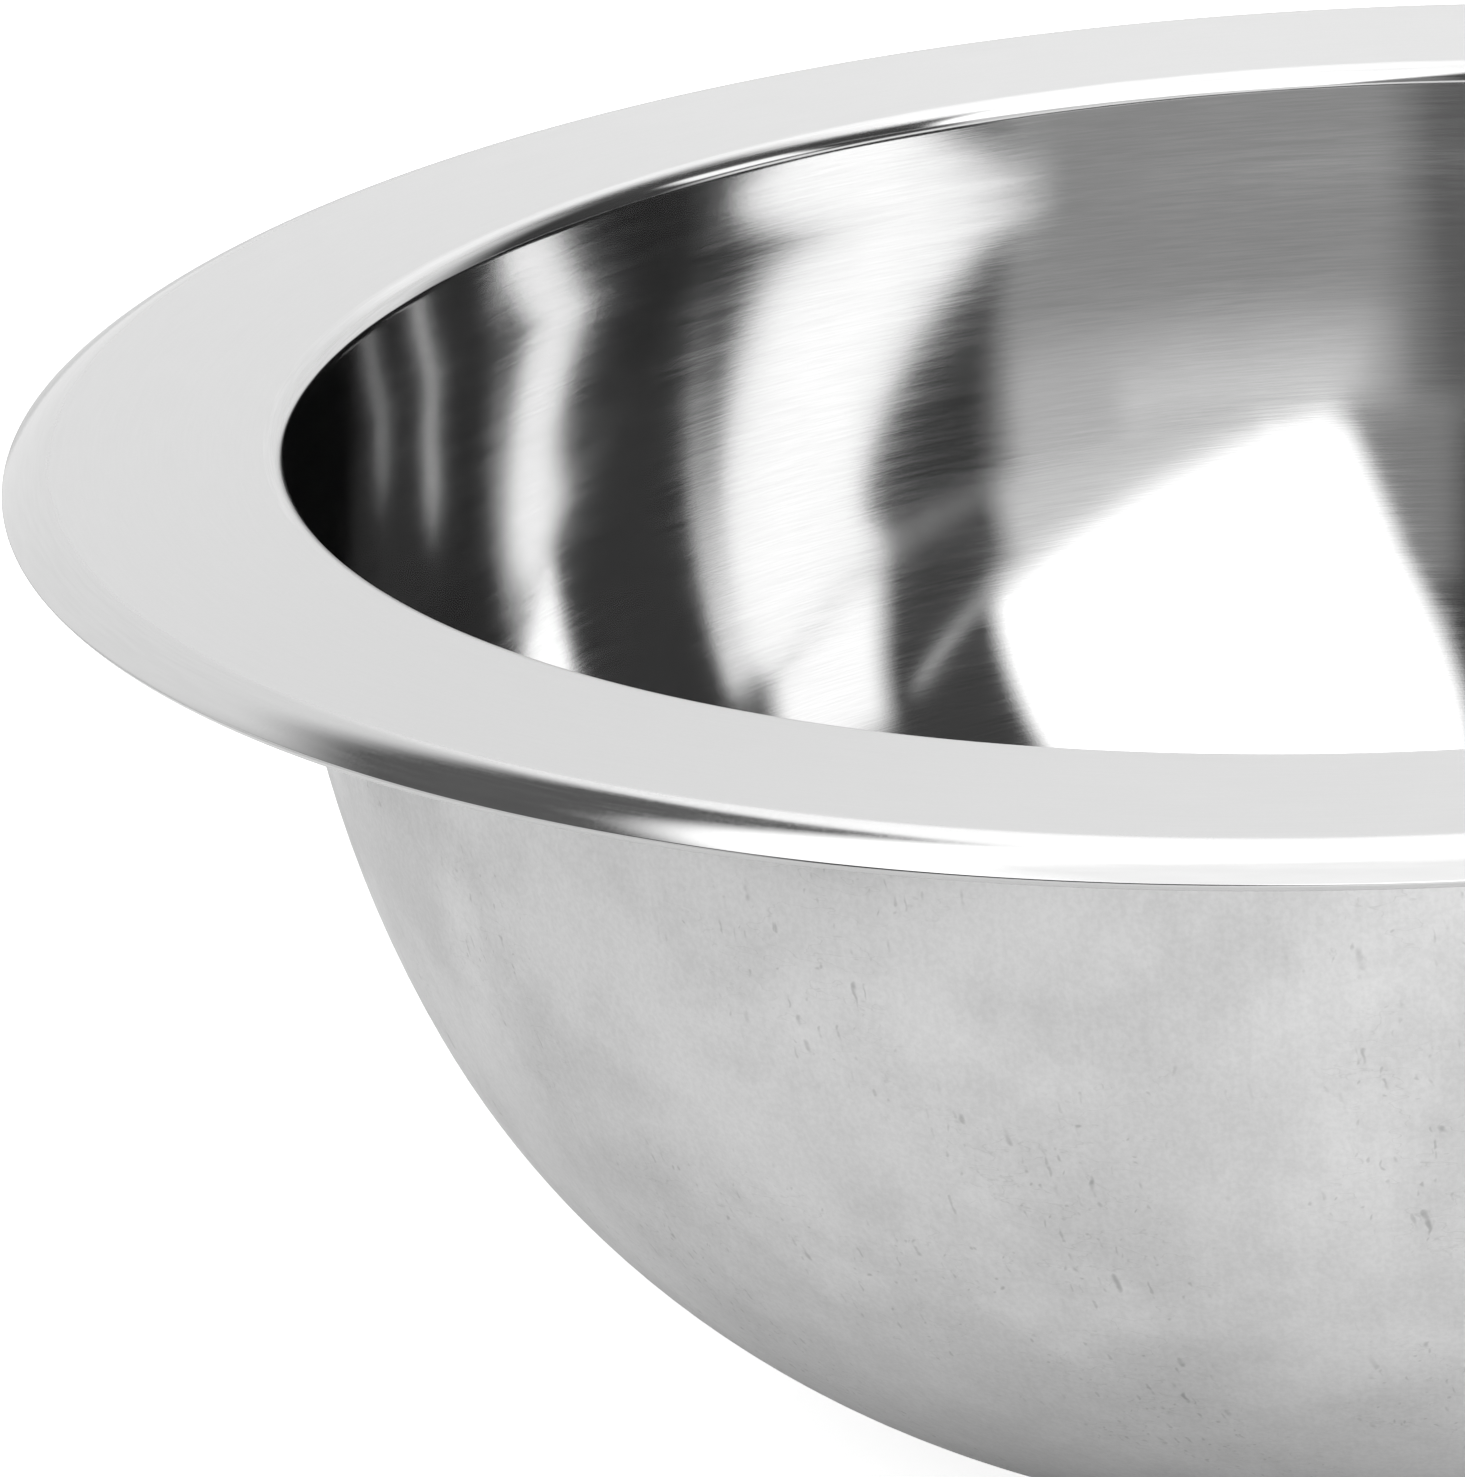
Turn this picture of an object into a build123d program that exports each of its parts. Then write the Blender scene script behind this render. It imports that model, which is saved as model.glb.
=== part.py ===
from build123d import *
import os
from math import acos, atan2, cos, degrees, hypot, radians, sin, tan

# A round mixing bowl, pressed from one disc of stainless-steel sheet: a flat base, a nearly
# hemispherical bowl, a short straight wall, a wide flange that falls a little towards the
# mouth, and a turned-down lip.
# Millimetres, +Z up. The origin is the centre of the face it rests on, on the bowl's axis.

# Overall size
rim_radius = 149.0  # axis to the lip's outermost edge
height = 116.0  # resting face to the crease, the highest line of the flange
sheet = 1.0  # thickness of the steel

# Wall and bowl, given on the outside of the sheet
wall_radius = 119.4  # the straight wall below the flange
wall_foot = 14.0  # crease down to the foot of the straight wall
shoulder_radius = 127.5  # gentle first curve below the straight wall
shoulder_sweep = 22.8  # degrees
bowl_radius = 91.0  # main curve of the bowl
base_blend = 26.0  # curve from the bowl into the flat base

# Flange and lip, given on the top of the sheet
mouth_bend = 2.6  # rounding from the wall out to the flange
flange_fall = 1.5  # crease down to the mouth's side of the flange
crease_bend = 3.0  # rounding from the flange down to the lip
lip_width = 5.2  # radial width of the lip, from the crease to its edge
lip_drop = 2.5  # crease down to the lip's edge

# Slopes from level, in degrees, where the main curve meets the shoulder and the base blend
shoulder_slope = 90.0 - shoulder_sweep
curve_rise = height - wall_foot
blend_rise = curve_rise - base_blend - (shoulder_radius - bowl_radius) * cos(radians(shoulder_slope))
blend_slope = degrees(acos(blend_rise / (bowl_radius - base_blend)))

# Radius of the flat base: what the curves between it and the wall leave
shoulder_run = shoulder_radius * (1.0 - sin(radians(shoulder_slope)))
bowl_run = bowl_radius * (sin(radians(shoulder_slope)) - sin(radians(blend_slope)))
blend_run = base_blend * sin(radians(blend_slope))
base_radius = wall_radius - shoulder_run - bowl_run - blend_run

# The flange and the lip run straight between two rounded corners, the mouth and the crease.
# Each rounding starts this far before its corner and ends as far past it.
crease_radius = rim_radius - lip_width
inner_wall = wall_radius - sheet
flange_slope = degrees(atan2(flange_fall, crease_radius - inner_wall))
lip_slope = degrees(atan2(lip_drop, lip_width))
mouth_cut = mouth_bend * tan(radians((90.0 - flange_slope) / 2.0))
crease_cut = crease_bend * tan(radians((flange_slope + lip_slope) / 2.0))
flange_length = hypot(flange_fall, crease_radius - inner_wall) - mouth_cut - crease_cut
lip_length = hypot(lip_width, lip_drop) - crease_cut
wall_top = height - flange_fall - mouth_cut

# The sheet's upper face is one run of lines and tangent arcs, from the axis out to the lip's
# edge. The steel lies below and outside it, one thickness deep.
with BuildPart() as bowl:
    with BuildSketch(Plane.XZ) as section:
        with BuildLine() as upper_face:
            floor = Line((0.0, sheet), (base_radius, sheet))
            blend = JernArc(floor @ 1, floor % 1, base_blend - sheet, blend_slope)
            belly = JernArc(blend @ 1, blend % 1, bowl_radius - sheet, shoulder_slope - blend_slope)
            shoulder = JernArc(belly @ 1, belly % 1, shoulder_radius - sheet, shoulder_sweep)
            wall = Line(shoulder @ 1, (inner_wall, wall_top))
            mouth = JernArc(wall @ 1, wall % 1, mouth_bend, flange_slope - 90.0)
            flange = PolarLine(mouth @ 1, flange_length, flange_slope)
            crease = JernArc(flange @ 1, flange % 1, crease_bend, -flange_slope - lip_slope)
            lip = PolarLine(crease @ 1, lip_length, -lip_slope)
            offset(amount=sheet, side=Side.RIGHT)
        make_face()
    revolve(axis=Axis.Z)

bowl.part.label = "bowl"

os.makedirs("parts", exist_ok=True)
export_step(bowl.part, "parts/bowl.step")

print("flat base radius", round(base_radius, 2), "highest point", round(bowl.part.bounding_box().max.Z, 2))
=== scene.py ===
import math

import bmesh
import bpy
from mathutils import Matrix, Vector


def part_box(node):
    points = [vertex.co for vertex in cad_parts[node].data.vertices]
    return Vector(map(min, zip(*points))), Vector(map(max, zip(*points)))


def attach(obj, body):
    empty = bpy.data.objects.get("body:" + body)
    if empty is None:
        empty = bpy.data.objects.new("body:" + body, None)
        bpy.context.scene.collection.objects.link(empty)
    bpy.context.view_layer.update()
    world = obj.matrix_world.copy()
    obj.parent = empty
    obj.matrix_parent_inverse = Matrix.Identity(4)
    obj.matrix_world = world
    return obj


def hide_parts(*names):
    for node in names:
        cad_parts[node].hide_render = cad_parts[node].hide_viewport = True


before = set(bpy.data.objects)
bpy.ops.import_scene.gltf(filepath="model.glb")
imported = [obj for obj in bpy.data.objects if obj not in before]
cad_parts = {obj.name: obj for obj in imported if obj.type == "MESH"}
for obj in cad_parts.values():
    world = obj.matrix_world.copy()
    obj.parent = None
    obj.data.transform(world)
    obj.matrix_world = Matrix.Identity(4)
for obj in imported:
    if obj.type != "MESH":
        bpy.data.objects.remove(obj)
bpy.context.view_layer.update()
_, node_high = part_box("bowl")

# Sizes in metres. The bowl's axis is Z, and it rests on z = 0.
MM = 0.001
rim_radius = node_high.x
crease_height = 116.0 * MM
sheet = 1.0 * MM
wall_radius = 119.4 * MM
wall_foot = 14.0 * MM
shoulder_radius = 127.5 * MM
shoulder_sweep = math.radians(22.8)
bowl_radius = 91.0 * MM
base_blend = 26.0 * MM
mouth_bend = 2.6 * MM
flange_fall = 1.5 * MM
crease_bend = 3.0 * MM
lip_width = 5.2 * MM
lip_drop = 2.5 * MM
lip_curl = math.radians(30.0)
edge_round = 0.22 * MM

ROUND_STEPS = 360
ON_AXIS = 1e-9


# ---------------------------------------------------------------- shape

class Walk:
    """A smooth line in the bowl's section, as points of (radius, height, heading, zone)."""

    def __init__(self, radius, height, heading):
        self.points = [(radius, height, heading, None)]

    def forward(self, length, steps, zone):
        radius, height, heading, _ = self.points[-1]
        for step in range(1, steps + 1):
            gone = length * step / steps
            across, up = gone * math.cos(heading), gone * math.sin(heading)
            self.points.append((radius + across, height + up, heading, zone))

    def turn(self, bend, sweep, steps, zone):
        """Follows an arc of radius bend, to the left where sweep is positive."""
        radius, height, heading, _ = self.points[-1]
        side = math.copysign(bend, sweep)
        centre_radius = radius - side * math.sin(heading)
        centre_height = height + side * math.cos(heading)
        for step in range(1, steps + 1):
            turned = heading + sweep * step / steps
            across, up = side * math.sin(turned), -side * math.cos(turned)
            self.points.append((centre_radius + across, centre_height + up, turned, zone))


def walk_face(depth):
    """Walks one face of the sheet, depth below its upper face, from the axis out to the lip."""
    quarter = math.pi / 2
    inward = sheet - depth
    inner_wall = wall_radius - sheet
    crease_radius = rim_radius - lip_width
    shoulder_slope = quarter - shoulder_sweep
    shoulder_rise = (shoulder_radius - bowl_radius) * math.cos(shoulder_slope)
    blend_rise = crease_height - wall_foot - base_blend - shoulder_rise
    blend_slope = math.acos(blend_rise / (bowl_radius - base_blend))
    shoulder_run = shoulder_radius * (1.0 - math.sin(shoulder_slope))
    bowl_run = bowl_radius * (math.sin(shoulder_slope) - math.sin(blend_slope))
    base_radius = wall_radius - shoulder_run - bowl_run - base_blend * math.sin(blend_slope)
    flange_slope = math.atan2(flange_fall, crease_radius - inner_wall)
    lip_chord = math.hypot(lip_width, lip_drop)
    lip_slope = math.atan2(lip_drop, lip_width) - lip_curl / 2
    lip_bend = lip_chord / (2.0 * math.sin(lip_curl / 2))
    mouth_cut = mouth_bend * math.tan((quarter - flange_slope) / 2)
    crease_cut = crease_bend * math.tan((flange_slope + lip_slope) / 2)
    lip_sweep = lip_curl - (crease_cut + edge_round) / lip_bend
    flange_length = math.hypot(flange_fall, crease_radius - inner_wall) - mouth_cut - crease_cut

    walk = Walk(0.0, inward, 0.0)
    walk.forward(base_radius, 5, "floor")
    walk.turn(base_blend - inward, blend_slope, 8, "bowl")
    walk.turn(bowl_radius - inward, shoulder_slope - blend_slope, 34, "bowl")
    walk.turn(shoulder_radius - inward, shoulder_sweep, 14, "bowl")
    walk.forward(wall_foot - flange_fall - mouth_cut, 4, "wall")
    walk.turn(mouth_bend - depth, flange_slope - quarter, 12, "mouth")
    walk.forward(flange_length, 6, "flange")
    walk.turn(crease_bend - depth, -flange_slope - lip_slope, 8, "lip")
    walk.turn(lip_bend - depth, -lip_sweep, 12, "lip")
    return walk


def bowl_section():
    """The whole section: out along the upper face, round the cut edge and back underneath."""
    quarter = math.pi / 2
    upper = walk_face(0.0)
    upper.turn(edge_round, -quarter, 4, "edge")
    upper.forward(sheet - 2.0 * edge_round, 1, "edge")
    upper.turn(edge_round, -quarter, 4, "edge")
    under = walk_face(sheet)
    points = upper.points
    under_points = under.points[::-1]
    for index in range(1, len(under_points)):
        radius, height, heading, _ = under_points[index]
        zone = under_points[index - 1][3]
        points.append((radius, height, heading + math.pi, "under_" + zone))
    return points


def revolve(name, section, slots):
    """Turns a section from axis to axis into a closed mesh, with normals from its headings."""
    mesh = bpy.data.meshes.new(name)
    work = bmesh.new()
    rings = []
    normals = []
    for radius, height, heading, _ in section:
        lean, rise = -math.sin(heading), math.cos(heading)
        if radius < ON_AXIS:
            rings.append([work.verts.new((0.0, 0.0, height))])
            normals.append((0.0, 0.0, math.copysign(1.0, rise)))
            continue
        ring = []
        for step in range(ROUND_STEPS):
            angle = 2.0 * math.pi * step / ROUND_STEPS
            across, along = math.cos(angle), math.sin(angle)
            ring.append(work.verts.new((radius * across, radius * along, height)))
            normals.append((lean * across, lean * along, rise))
        rings.append(ring)
    for index in range(1, len(rings)):
        inner, outer = rings[index - 1], rings[index]
        for step in range(ROUND_STEPS):
            after = (step + 1) % ROUND_STEPS
            if len(inner) == 1:
                corners = (inner[0], outer[step], outer[after])
            elif len(outer) == 1:
                corners = (inner[step], outer[0], inner[after])
            else:
                corners = (inner[step], outer[step], outer[after], inner[after])
            face = work.faces.new(corners)
            face.smooth = True
            face.material_index = slots[section[index][3]]
    work.to_mesh(mesh)
    work.free()
    mesh.normals_split_custom_set_from_vertices(normals)
    piece = bpy.data.objects.new(name, mesh)
    bpy.context.scene.collection.objects.link(piece)
    return piece


# ---------------------------------------------------------------- materials

class Graph:
    """Short names for the shader nodes used below. Values may be numbers or sockets."""

    def __init__(self, tree):
        self.nodes = tree.nodes
        self.links = tree.links

    def feed(self, socket, value):
        if isinstance(value, (int, float)):
            socket.default_value = value
        else:
            self.links.new(value, socket)

    def math(self, operation, *values):
        node = self.nodes.new("ShaderNodeMath")
        node.operation = operation
        for index, value in enumerate(values):
            self.feed(node.inputs[index], value)
        return node.outputs[0]

    def add(self, first, second):
        return self.math("ADD", first, second)

    def times(self, first, second):
        return self.math("MULTIPLY", first, second)

    def join(self, x, y, z):
        node = self.nodes.new("ShaderNodeCombineXYZ")
        self.feed(node.inputs[0], x)
        self.feed(node.inputs[1], y)
        self.feed(node.inputs[2], z)
        return node.outputs[0]

    def split(self, vector):
        node = self.nodes.new("ShaderNodeSeparateXYZ")
        self.feed(node.inputs[0], vector)
        return node.outputs[0], node.outputs[1], node.outputs[2]

    def noise(self, vector, scale, detail, roughness=0.5):
        node = self.nodes.new("ShaderNodeTexNoise")
        self.feed(node.inputs["Vector"], vector)
        node.inputs["Scale"].default_value = scale
        node.inputs["Detail"].default_value = detail
        node.inputs["Roughness"].default_value = roughness
        return node.outputs["Fac"]

    def cells(self, vector, scale):
        """Distance from the nearest of a scatter of points, in cell widths."""
        node = self.nodes.new("ShaderNodeTexVoronoi")
        self.feed(node.inputs["Vector"], vector)
        node.inputs["Scale"].default_value = scale
        return node.outputs["Distance"]

    def ramp(self, value, low, high, to_low, to_high):
        """Maps low..high smoothly to to_low..to_high, and holds the ends."""
        node = self.nodes.new("ShaderNodeMapRange")
        node.interpolation_type = "SMOOTHSTEP"
        for index, number in enumerate((value, low, high, to_low, to_high)):
            self.feed(node.inputs[index], number)
        return node.outputs[0]

    def spread(self, noise, to_low, to_high):
        """Maps a noise's usual range, 0.3 to 0.7, to to_low..to_high."""
        return self.ramp(noise, 0.3, 0.7, to_low, to_high)

    def bump(self, height, distance):
        node = self.nodes.new("ShaderNodeBump")
        self.feed(node.inputs["Height"], height)
        node.inputs["Distance"].default_value = distance
        node.inputs["Strength"].default_value = 1.0
        return node.outputs["Normal"]


NEAR_AXIS = 0.1 * MM
SMEAR_ALONG_SECTION = 0.25
BURNISHED = 0.12
SATIN_EXTRA = 0.21
OUTSIDE_TONE = 0.622


class Steel(Graph):
    """A stainless steel whose reflections smear along the bowl's section, as turned metal does."""

    def __init__(self, name, anisotropic):
        self.material = bpy.data.materials.new(name)
        self.material.use_nodes = True
        super().__init__(self.material.node_tree)
        self.shader = self.nodes["Principled BSDF"]
        self.shader.inputs["Metallic"].default_value = 1.0
        self.shader.inputs["Anisotropic"].default_value = anisotropic
        self.shader.inputs["Anisotropic Rotation"].default_value = SMEAR_ALONG_SECTION
        self.place = self.nodes.new("ShaderNodeTexCoord").outputs["Object"]
        x, y, z = self.split(self.place)
        squares = self.add(self.times(x, x), self.times(y, y))
        self.radius = self.math("SQRT", squares)
        safe_radius = self.math("MAXIMUM", self.radius, NEAR_AXIS)
        self.east = self.math("DIVIDE", x, safe_radius)
        self.north = self.math("DIVIDE", y, safe_radius)
        self.along = self.add(self.radius, z)
        tangent = self.join(self.times(self.north, -1.0), self.east, 0.0)
        self.feed(self.shader.inputs["Tangent"], tangent)

    def marks(self, around, upward, detail):
        """Noise in marks about `around` long round the rim and `upward` long up the side."""
        turns = rim_radius / around
        vector = self.join(
            self.times(self.east, turns),
            self.times(self.north, turns),
            self.times(self.along, 1.0 / upward),
        )
        return self.noise(vector, 1.0, detail)

    def finish(self, tone, roughness, normal):
        colour = self.join(tone, tone, tone)
        self.feed(self.shader.inputs["Base Color"], colour)
        self.feed(self.shader.inputs["Roughness"], roughness)
        self.feed(self.shader.inputs["Normal"], normal)
        return self.material


def inside_finish():
    """Polished nearly to a mirror, with the faint lines the polishing wheel left.

    It turns satin over the mouth's bend, where it meets the flange.
    """
    steel = Steel("inside_steel", 0.72)
    fine = steel.marks(9.0 * MM, 0.16 * MM, 3.0)
    broad = steel.marks(30.0 * MM, 1.2 * MM, 2.0)
    cloud = steel.noise(steel.place, 38.0, 3.0)
    tone = steel.add(steel.spread(fine, 0.60, 0.655), steel.spread(cloud, -0.01, 0.01))
    polish = steel.add(steel.spread(broad, 0.07, 0.09), steel.spread(fine, 0.0, 0.02))
    mouth_radius = wall_radius - sheet
    bend_start, bend_end = mouth_radius + 0.1 * MM, mouth_radius + 1.2 * MM
    satin = steel.ramp(steel.radius, bend_start, bend_end, 0.0, 0.24)
    grain = steel.noise(steel.place, 3200.0, 2.0)
    height = steel.add(fine, steel.times(grain, 0.5))
    return steel.finish(tone, steel.add(polish, satin), steel.bump(height, 0.0014 * MM))


def rim_finish():
    """Satin flange, brushed round the rim, that turns to a burnished lip where it bends down."""
    steel = Steel("rim_steel", 0.5)
    fine = steel.marks(9.0 * MM, 0.20 * MM, 3.0)
    grain = steel.noise(steel.place, 2600.0, 2.0)
    crease = rim_radius - lip_width
    satin = steel.ramp(steel.radius, crease - 0.8 * MM, crease + 1.6 * MM, 1.0, 0.0)
    tone = steel.ramp(fine, 0.25, 0.75, 0.595, 0.62)
    level = steel.add(BURNISHED, steel.times(satin, SATIN_EXTRA))
    uneven = steel.add(steel.spread(fine, -0.02, 0.02), steel.spread(grain, -0.015, 0.015))
    roughness = steel.add(level, uneven)
    depth = steel.add(0.15, steel.times(satin, 0.85))
    height = steel.times(grain, depth)
    return steel.finish(tone, roughness, steel.bump(height, 0.004 * MM))


def outside_finish():
    """The sheet's own dull skin: cloudy, streaked and lightly scuffed."""
    steel = Steel("outside_steel", 0.0)
    x, y, z = steel.split(steel.place)
    cloud = steel.noise(steel.place, 34.0, 7.0, 0.62)
    smear = steel.noise(steel.join(x, y, steel.times(z, 2.0)), 13.0, 3.0)
    streak = steel.marks(0.8 * MM, 20.0 * MM, 4.0)
    grain = steel.noise(steel.place, 1700.0, 3.0, 0.6)
    # short knocks, longer than wide and bent at random, gathered in patches
    stray = steel.times(steel.noise(steel.place, 300.0, 2.0), 3.0 * MM)
    slant = steel.join(
        steel.add(x, stray),
        steel.add(y, stray),
        steel.add(steel.times(z, 0.3), steel.times(stray, -1.0)),
    )
    patch = steel.ramp(steel.noise(steel.place, 46.0, 3.0), 0.44, 0.58, 0.0, 1.0)
    knock = steel.ramp(steel.cells(slant, 330.0), 0.03, 0.15, 1.0, 0.0)
    nick = steel.ramp(steel.cells(slant, 820.0), 0.06, 0.22, 0.7, 0.0)
    wander = steel.noise(steel.join(x, y, steel.times(z, 3.0)), 120.0, 3.0)
    off_line = steel.math("ABSOLUTE", steel.math("SUBTRACT", wander, 0.5))
    hairline = steel.times(steel.ramp(off_line, 0.0, 0.008, 0.35, 0.0), patch)
    dents = steel.times(steel.math("MAXIMUM", knock, nick), patch)
    scuff = steel.math("MAXIMUM", dents, hairline)
    clouds = steel.add(
        steel.ramp(cloud, 0.36, 0.64, -0.05, 0.05),
        steel.ramp(smear, 0.35, 0.65, -0.035, 0.035),
    )
    lines = steel.add(steel.spread(streak, -0.006, 0.006), steel.spread(grain, -0.025, 0.025))
    tone = steel.add(OUTSIDE_TONE, steel.add(clouds, lines))
    tone = steel.math("SUBTRACT", tone, steel.times(scuff, 0.17))
    dull = steel.spread(cloud, 0.44, 0.36)
    roughness = steel.add(dull, steel.times(scuff, 0.1))
    skin = steel.add(steel.times(grain, 0.5), steel.times(streak, 0.2))
    height = steel.math("SUBTRACT", skin, scuff)
    return steel.finish(tone, roughness, steel.bump(height, 0.015 * MM))


STEELS = [inside_finish(), rim_finish(), outside_finish()]
SLOTS = {"floor": 0, "bowl": 0, "wall": 0, "mouth": 0, "flange": 1, "lip": 1, "edge": 1}
SLOTS.update({"under_" + zone: 2 for zone in ("floor", "bowl", "wall", "mouth", "flange", "lip")})

shell = revolve("bowl_shell", bowl_section(), SLOTS)
for steel in STEELS:
    shell.data.materials.append(steel)
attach(shell, "root")
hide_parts("bowl")


# ---------------------------------------------------------------- studio

FLOOR_REACH = 12.0
PAPER_TONE = 0.7
# painted light: how strongly the floor glows into the bowl's reflections on its right, and where
# that glow starts and is full
GLOW_RIGHT = 0.6
GLOW_STARTS, GLOW_FULL = -0.5, 0.3
GLOW_TO_CAMERA = 0.8
ALL_ROUND = 181.0
BRIGHTEST = 4.0
ZENITH_BRIGHTNESS = 1.45


def paper_floor():
    """A white paper floor that glows a little.

    It glows to the camera, so that it washes out to white, and less so to the right of the bowl,
    as a painted pool of light for the bowl's reflections, but not right beside the base, as a
    painted contact shadow, so that the bowl still darkens towards its foot.
    """
    mesh = bpy.data.meshes.new("floor")
    sides = ((-1.0, -1.0), (1.0, -1.0), (1.0, 1.0), (-1.0, 1.0))
    corners = [(FLOOR_REACH * across, FLOOR_REACH * along, 0.0) for across, along in sides]
    mesh.from_pydata(corners, [], [(0, 1, 2, 3)])
    floor = bpy.data.objects.new("floor", mesh)
    bpy.context.scene.collection.objects.link(floor)
    paper = bpy.data.materials.new("paper")
    paper.use_nodes = True
    shader = paper.node_tree.nodes["Principled BSDF"]
    shader.inputs["Base Color"].default_value = (PAPER_TONE, PAPER_TONE, PAPER_TONE, 1.0)
    shader.inputs["Roughness"].default_value = 1.0
    shader.inputs["Specular IOR Level"].default_value = 0.0
    shader.inputs["Emission Color"].default_value = (1.0, 1.0, 1.0, 1.0)
    graph = Graph(paper.node_tree)
    seen = graph.nodes.new("ShaderNodeLightPath").outputs["Is Camera Ray"]
    place = graph.nodes.new("ShaderNodeTexCoord").outputs["Object"]
    east, _, _ = graph.split(place)
    distance = graph.nodes.new("ShaderNodeVectorMath")
    distance.operation = "LENGTH"
    graph.feed(distance.inputs[0], place)
    # painted contact shadow: the floor's glow is taken out within 60 to 130 mm of the bowl's foot
    past_painted_shadow = graph.ramp(distance.outputs["Value"], 60.0 * MM, 130.0 * MM, 0.0, 1.0)
    # painted pool of light: the floor's glow grows from nothing on the left to full on the right of
    # the bowl
    painted_light_right = graph.ramp(east, GLOW_STARTS, GLOW_FULL, 0.0, GLOW_RIGHT)
    glow = graph.times(painted_light_right, past_painted_shadow)
    to_camera = graph.times(seen, GLOW_TO_CAMERA)
    graph.feed(shader.inputs["Emission Strength"], graph.math("MAXIMUM", glow, to_camera))
    mesh.materials.append(paper)


class Studio(Graph):
    """White cards and dark gaps around the bowl, painted on the sky by compass and height.

    Azimuth 0 is the bowl's right (+X), 90 its back, 180 its left and 270 the camera's side.
    """

    def __init__(self):
        world = bpy.data.worlds.new("studio")
        world.use_nodes = True
        bpy.context.scene.world = world
        super().__init__(world.node_tree)
        self.sky = self.nodes["Background"]
        east, north, up = self.split(self.nodes.new("ShaderNodeTexCoord").outputs["Generated"])
        self.azimuth = self.math("DEGREES", self.math("ARCTAN2", north, east))
        self.elevation = self.math("DEGREES", self.math("ARCSINE", up))
        depth = self.nodes.new("ShaderNodeLightPath").outputs["Glossy Depth"]
        self.once = self.math("LESS_THAN", depth, 1.5)
        self.twice = self.math("COMPARE", depth, 2.0, 0.5)
        self.thrice = self.math("COMPARE", depth, 3.0, 0.5)
        self.later = self.math("GREATER_THAN", depth, 3.5)
        self.light = 0.0

    def card(
        self, left, right, low, high, brightness, soft=2.0,
        fade=None, lean=0.0, slope=0.0, reach=None,
    ):
        """One card, soft at its sides and fading over `fade` degrees at its top and bottom.

        Its sides lean by `lean` degrees of azimuth for each degree of height, and its top and
        bottom climb by `slope` degrees for each degree of azimuth. A top above 90 means that the
        card has no soft edge before the zenith. The sky has no distance, so `reach` says which
        reflections a card that stands close by can be seen in: self.once for the first surface
        that light from the eye meets, self.twice for the second, and so on.
        """
        fade = fade or soft
        off = self.math("SUBTRACT", self.azimuth, (left + right) / 2.0)
        off = self.math("WRAP", off, 180.0, -180.0)
        above = self.math("SUBTRACT", self.elevation, (low + high) / 2.0)
        if slope:
            above = self.math("SUBTRACT", above, self.times(off, slope))
        if lean:
            off = self.math("SUBTRACT", off, self.times(above, lean))
        half = (right - left) / 2.0
        shape = self.ramp(self.math("ABSOLUTE", off), half - soft, half + soft, brightness, 0.0)
        half = (high - low) / 2.0
        upright = self.ramp(self.math("ABSOLUTE", above), half - fade, half + fade, 1.0, 0.0)
        shape = self.times(shape, upright)
        if reach:
            shape = self.times(shape, reach)
        self.light = self.math("MAXIMUM", self.light, shape)

    def hang(self):
        """Lights the bowl with the cards, and shows the camera a plain white backdrop.

        Straight above is dimmer than the cards round it, so the flange keeps its tone from the top.
        """
        seen = self.nodes.new("ShaderNodeLightPath").outputs["Is Camera Ray"]
        most = self.ramp(self.elevation, 62.0, 76.0, BRIGHTEST, ZENITH_BRIGHTNESS)
        light = self.math("MAXIMUM", self.math("MINIMUM", self.light, most), seen)
        self.feed(self.sky.inputs["Color"], self.join(light, light, light))


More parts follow.
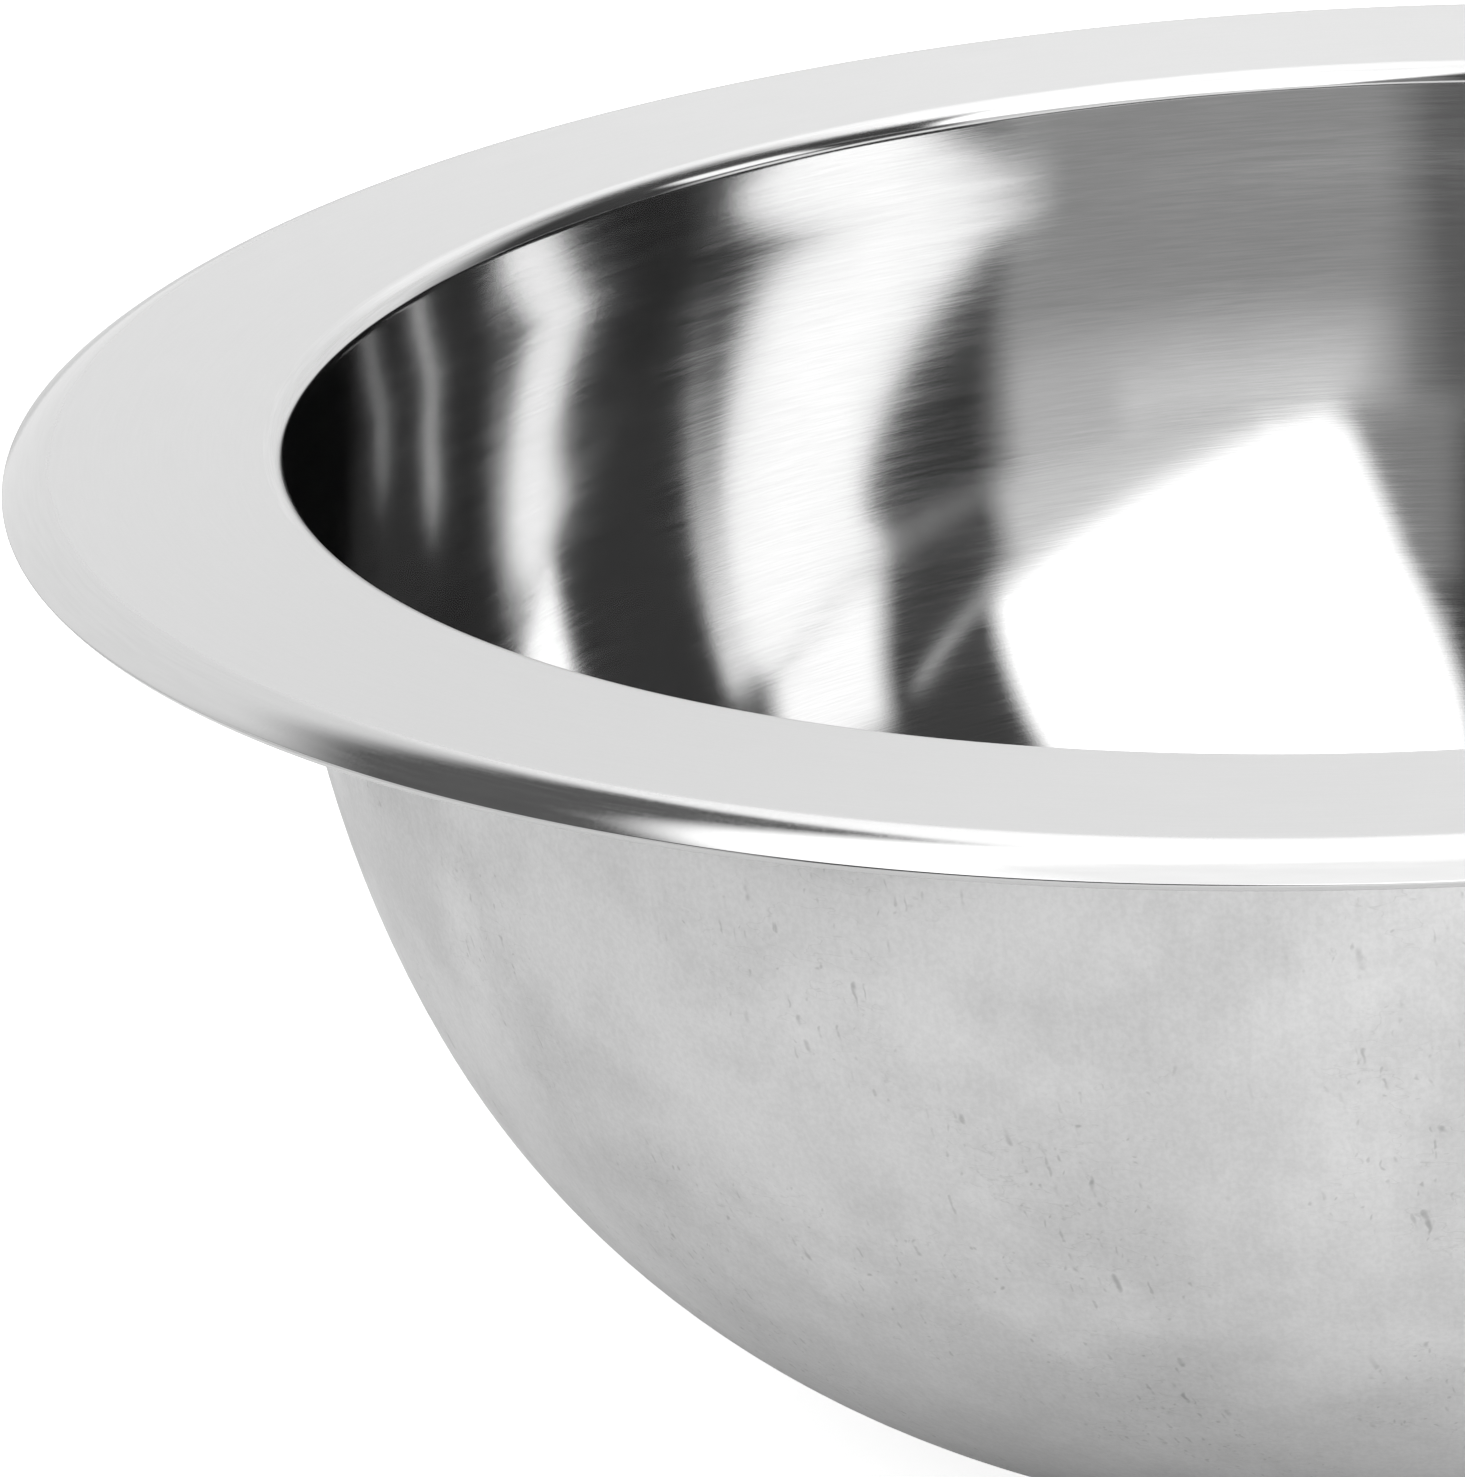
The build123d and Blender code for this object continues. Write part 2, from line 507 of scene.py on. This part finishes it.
def light_studio():
    """Hangs the cards. The steel keeps about 0.6 of the light at each reflection."""
    studio = Studio()
    once, twice, thrice, later = studio.once, studio.twice, studio.thrice, studio.later
    # the room's faint grey, paler in the reflections deep in the bowl
    studio.card(-ALL_ROUND, ALL_ROUND, -90.0, 90.0, 0.07, 1.0)
    studio.card(-ALL_ROUND, ALL_ROUND, -90.0, 90.0, 0.13, 1.0, reach=later)
    # the key, one big softbox in front on the right, whose outline takes several cards
    studio.card(252.0, 264.0, 11.0, 110.0, 2.0, 2.5, lean=-0.43, reach=once)
    studio.card(261.5, 318.0, 36.0, 110.0, 2.1, 3.0, reach=once)
    studio.card(266.0, 318.0, 28.0, 110.0, 2.1, 3.0, reach=once)
    studio.card(274.0, 320.5, 15.5, 110.0, 2.1, 2.5, fade=3.5, slope=0.28, reach=once)
    studio.card(300.0, 325.6, 22.0, 60.0, 2.1, 2.5, lean=0.26, reach=once)
    studio.card(280.0, 317.0, 5.0, 24.0, 0.85, 3.0, reach=once)
    studio.card(259.0, 276.0, 8.0, 32.0, 0.3, 4.0, reach=once)
    studio.card(300.0, 320.5, 11.0, 110.0, 2.8, 3.0, reach=twice)
    studio.card(325.0, 329.0, 20.0, 30.0, 0.6, 1.0, lean=2.0, reach=once)
    # a window on the left, which only the second and later reflections show
    studio.card(190.0, 237.0, 6.0, 42.0, 2.55, 2.2, lean=-1.3, reach=twice)
    studio.card(236.0, 254.0, 6.0, 17.4, 2.4, 2.0, reach=twice)
    studio.card(202.5, 233.0, 8.0, 30.0, 3.6, 2.2, lean=-2.0, reach=thrice)
    studio.card(225.0, 246.0, 6.0, 18.0, 1.5, 4.0, reach=thrice)
    studio.card(219.0, 229.0, 8.0, 30.0, 2.6, 2.0, reach=later)
    # the pale room behind, brighter towards the floor
    studio.card(30.0, 178.0, -10.0, 66.0, 0.24, 8.0, reach=twice)
    studio.card(75.0, 150.0, -10.0, 66.0, 0.6, 16.0, fade=8.0, reach=twice)
    studio.card(110.0, 175.0, -10.0, 66.0, 0.6, 5.0, fade=8.0, reach=twice)
    studio.card(82.0, 150.0, -40.0, 20.0, 1.1, 11.0, fade=6.0, reach=twice)
    studio.card(110.0, 172.0, -40.0, 20.0, 1.1, 5.0, fade=6.0, reach=twice)
    studio.card(88.0, 150.0, -40.0, 11.0, 1.6, 8.0, fade=4.0, reach=twice)
    studio.card(30.0, 155.0, -20.0, 41.0, 1.05, 15.0, fade=5.0, reach=once)
    studio.card(55.0, 110.0, 30.0, 66.0, 1.7, 2.5, reach=once)
    studio.card(100.0, 220.0, 30.0, 66.0, 0.14, 5.0, reach=once)
    # a strip on the right
    studio.card(338.0, 357.0, 15.0, 32.0, 1.6, 3.0, lean=0.6)
    # a low card on the left, which keeps the flange pale from the right
    studio.card(146.0, 222.0, 2.0, 28.0, 1.0, 6.0, reach=once)
    # light from above, all round
    studio.card(-ALL_ROUND, ALL_ROUND, 59.0, 120.0, 2.1, 4.0)
    # a low card on the camera's side, which lights the lip and the body
    studio.card(235.0, 350.0, -30.0, 9.0, 1.2, 8.0, fade=3.0, reach=once)
    studio.hang()


paper_floor()
light_studio()


# ---------------------------------------------------------------- camera

SENSOR = 36.0


def aim_camera():
    """Stands in front of the bowl and above it, turned left and tipped down, by angles in radians.

    The place is in rim radii, and the focal length in picture heights.
    """
    turned, tipped, rolled = -0.1166, 0.3648, 0.0741
    distance, rise = 4.1842, 1.3114
    focal_length = 4.0409614
    place = Vector((0.0, -distance * rim_radius, crease_height + rise * rim_radius))
    level_part, sunk_part = math.cos(tipped), -math.sin(tipped)
    ahead = Vector((math.sin(turned) * level_part, math.cos(turned) * level_part, sunk_part))
    level = Vector((math.cos(turned), -math.sin(turned), 0.0))
    down = ahead.cross(level)
    right = math.cos(rolled) * level + math.sin(rolled) * down
    up = math.sin(rolled) * level - math.cos(rolled) * down
    turn = Matrix((right, up, -ahead)).transposed()
    data = bpy.data.cameras.new("camera")
    data.sensor_width = SENSOR
    data.lens = SENSOR * focal_length
    data.clip_start = 0.01
    data.clip_end = 100.0
    camera = bpy.data.objects.new("camera", data)
    camera.matrix_world = Matrix.Translation(place) @ turn.to_4x4()
    bpy.context.scene.collection.objects.link(camera)
    bpy.context.scene.camera = camera


aim_camera()
bpy.context.scene.view_settings.view_transform = "Standard"
